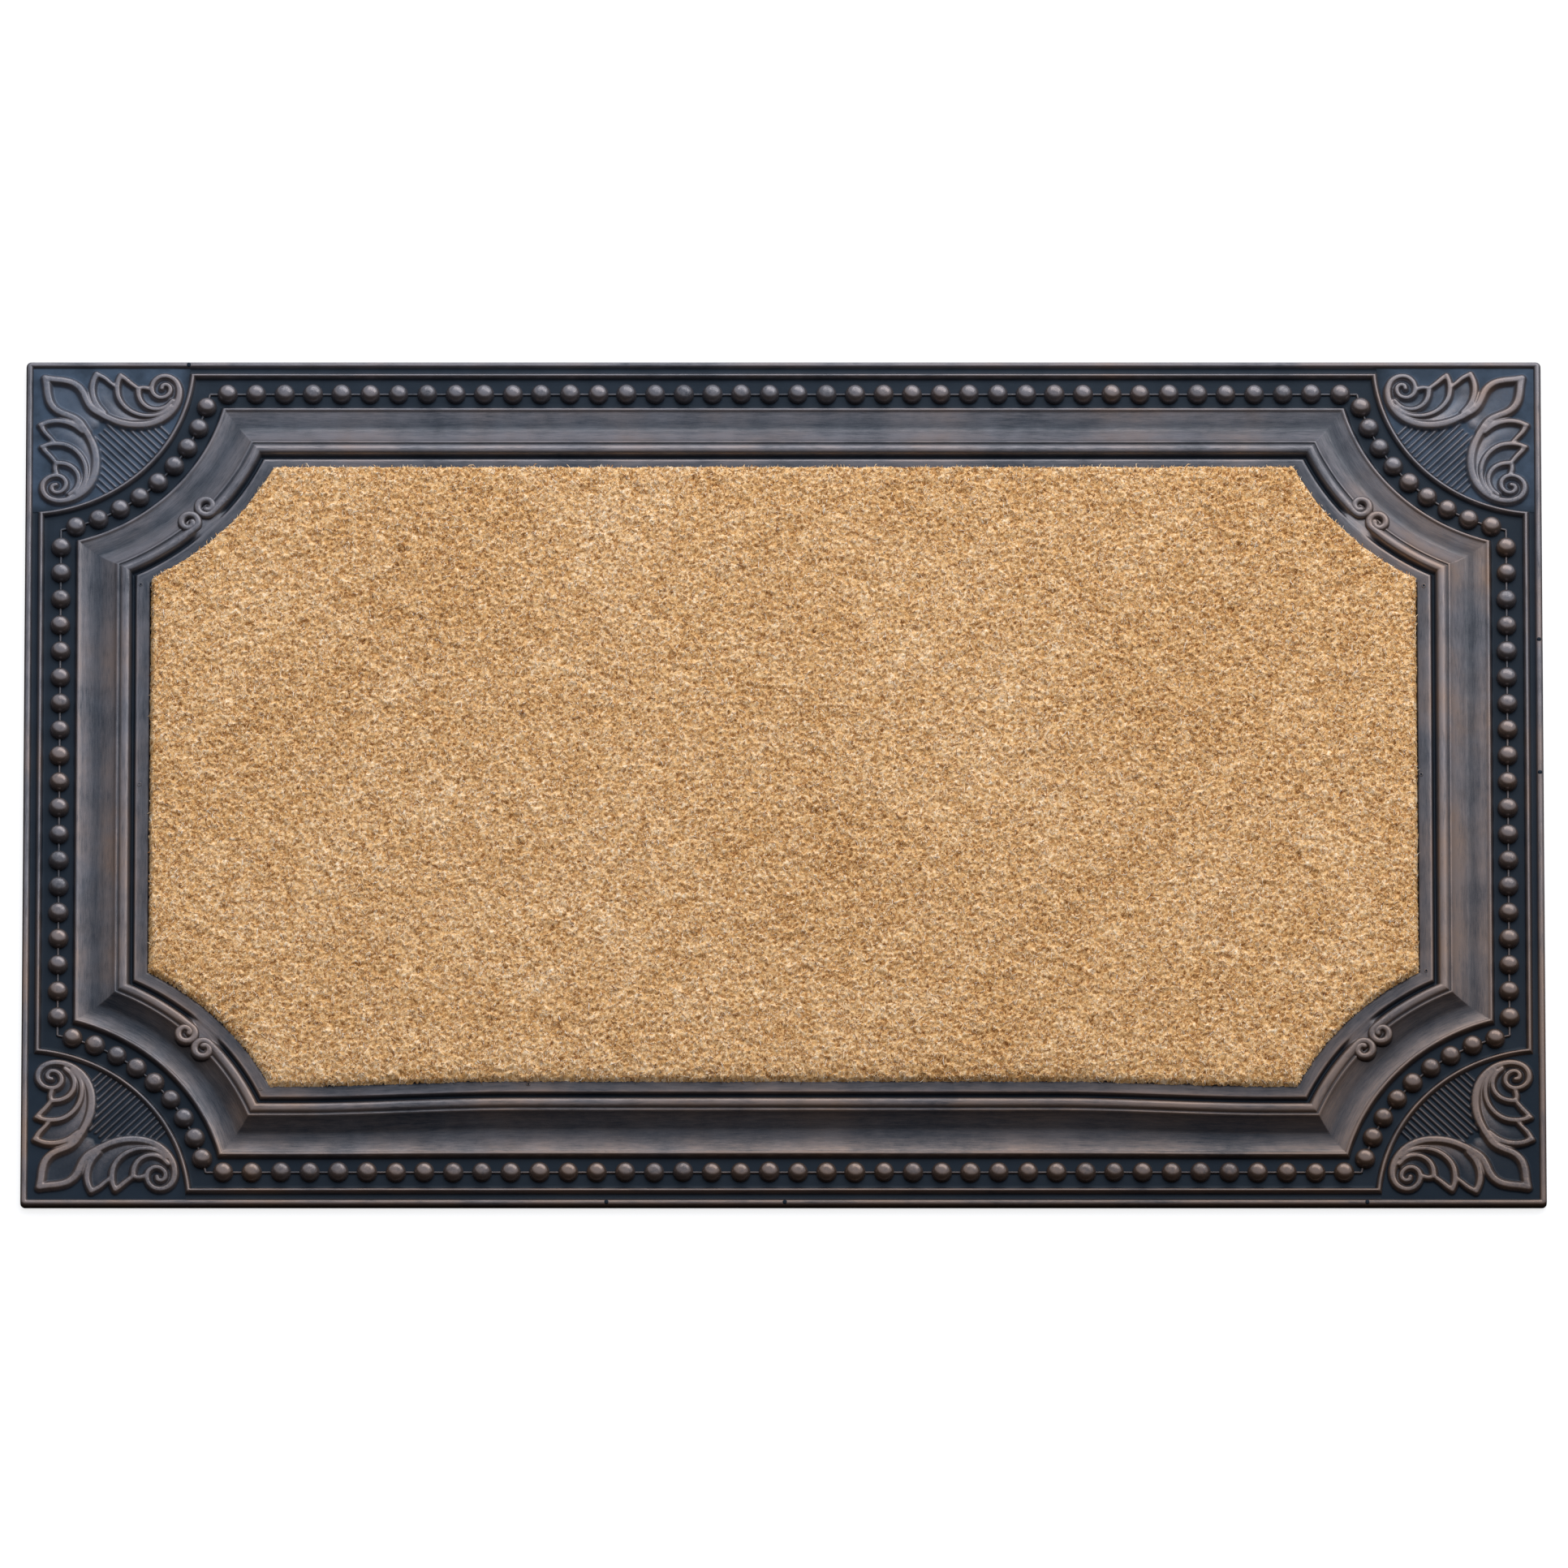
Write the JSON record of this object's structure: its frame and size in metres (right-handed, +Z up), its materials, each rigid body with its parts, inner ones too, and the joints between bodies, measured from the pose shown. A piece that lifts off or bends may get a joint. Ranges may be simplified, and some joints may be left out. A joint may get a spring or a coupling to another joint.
{
  "type": "door mat",
  "caption": "Rectangular moulded rubber door mat with a bronzed beaded and scrolled relief border and a notched-corner coir panel set in its recess.",
  "frame": {"origin": "middle of the flat underside, on the floor", "axes": "+X along the long side, +Y towards the far long side, +Z up from the floor"},
  "size_m": [0.965, 0.584, 0.0185],
  "materials": {
    "bronzed_rubber": "satin black with a hand-brushed antique bronze film on the raised relief",
    "adhesive": "dull, translucent in life",
    "vinyl_backing": "matte, fibres fused into it",
    "coir_fibre": "natural golden coir, cut pile"
  },
  "bodies": {
    "root": {"rubber_tray": "bronzed_rubber", "adhesive_film": "adhesive", "coir_backing": "vinyl_backing", "coir_pile": "coir_fibre"}
  },
  "joints": []
}
